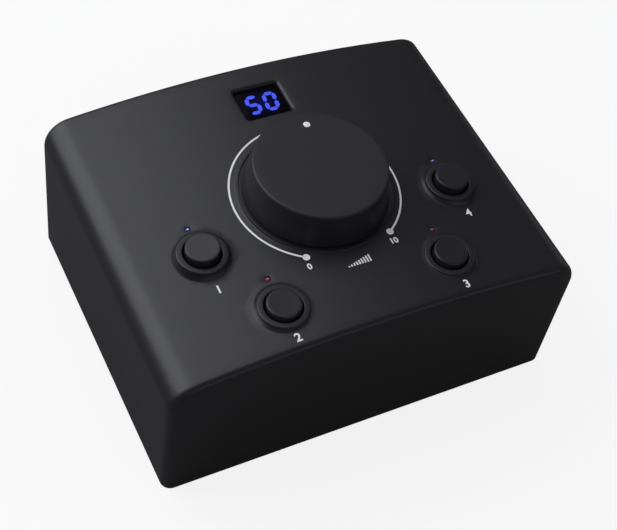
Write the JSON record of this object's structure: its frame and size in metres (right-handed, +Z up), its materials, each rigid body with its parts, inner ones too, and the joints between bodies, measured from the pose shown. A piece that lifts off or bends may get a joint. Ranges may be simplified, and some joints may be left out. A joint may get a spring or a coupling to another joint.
{
  "type": "studio monitor controller",
  "caption": "Desktop monitor controller with a crowned moulded case, a large volume knob, sprung push buttons with status lights, a lit display and a row of rear sockets.",
  "frame": {"origin": "on the table, under the middle of the case", "axes": "+X to the right of the panel, +Y to the rear, +Z up"},
  "size_m": [0.14, 0.11, 0.0726],
  "materials": {
    "cover": "soft matt black with a fine moulded grain",
    "base": "satin black powder coat",
    "rear": "matt black",
    "feet": "matt rubber",
    "screws": "zinc plated",
    "board": "green solder mask",
    "socket": "black nylon",
    "nut": "nickel plated",
    "knob": "soft-touch black",
    "print": "white ink",
    "shaft": "turned",
    "button": "satin black",
    "switch": "black nylon",
    "light_blue": "lit blue lens",
    "light_red": "lit red lens",
    "window": "smoked window",
    "module": "black module",
    "cable": "grey ribbon",
    "shield": "tinned shield",
    "relay": "cream case"
  },
  "bodies": {
    "root": {"aux_input": "socket", "base_plate": "base", "base_screw_front_left": "screws", "base_screw_front_right": "screws", "base_screw_rear_left": "screws", "base_screw_rear_right": "screws", "control_board": "board", "control_board_screw_front": "screws", "control_board_screw_rear": "screws", "control_header": "switch", "display_module": "module", "display_window": "window", "flat_cable": "cable", "foot_front_left": "feet", "foot_front_right": "feet", "foot_rear_left": "feet", "foot_rear_right": "feet", "input_socket_left": "socket", "input_socket_left_nut": "nut", "input_socket_right": "socket", "input_socket_right_nut": "nut", "main_board": "board", "main_board_screw_left": "screws", "main_board_screw_right": "screws", "main_header": "switch", "main_output_left": "socket", "main_output_left_nut": "nut", "main_output_right": "socket", "main_output_right_nut": "nut", "mute_relay": "relay", "potentiometer": "shield", "potentiometer_nut": "nut", "power_inlet": "socket", "radio_module": "shield", "rear_panel": "rear", "status_light_left_inner": "light_red", "status_light_left_outer": "light_blue", "status_light_right_inner": "light_red", "status_light_right_outer": "light_blue", "sub_output": "socket", "sub_output_nut": "nut", "supply_capacitor": "socket", "switch_left_inner": "switch", "switch_left_outer": "switch", "switch_right_inner": "switch", "switch_right_outer": "switch", "top_cover": "cover"},
    "knob": {"volume_knob": "knob", "pointer_dot": "print", "potentiometer_shaft": "shaft"},
    "button_left_outer": {"button_cap_left_outer": "button", "switch_plunger_left_outer": "switch"},
    "button_left_inner": {"button_cap_left_inner": "button", "switch_plunger_left_inner": "switch"},
    "button_right_inner": {"button_cap_right_inner": "button", "switch_plunger_right_inner": "switch"},
    "button_right_outer": {"button_cap_right_outer": "button", "switch_plunger_right_outer": "switch"}
  },
  "joints": [
    {"name": "knob_turn", "type": "hinge", "parent": "root", "child": "knob", "pos_m": [0, -0.0023, 0.05983], "axis": [0, -0.0309, 0.9995], "range_deg": [-137.5, 157.5]},
    {"name": "press_left_outer", "type": "slide", "parent": "root", "child": "button_left_outer", "axis": [0, 0.0309, -0.9995], "range_m": [0, 0.001], "stiffness_N_per_m": 300, "springref_m": -0.002},
    {"name": "press_left_inner", "type": "slide", "parent": "root", "child": "button_left_inner", "axis": [0, 0.0309, -0.9995], "range_m": [0, 0.001], "stiffness_N_per_m": 300, "springref_m": -0.002},
    {"name": "press_right_inner", "type": "slide", "parent": "root", "child": "button_right_inner", "axis": [0, 0.0309, -0.9995], "range_m": [0, 0.001], "stiffness_N_per_m": 300, "springref_m": -0.002},
    {"name": "press_right_outer", "type": "slide", "parent": "root", "child": "button_right_outer", "axis": [0, 0.0309, -0.9995], "range_m": [0, 0.001], "stiffness_N_per_m": 300, "springref_m": -0.002}
  ]
}
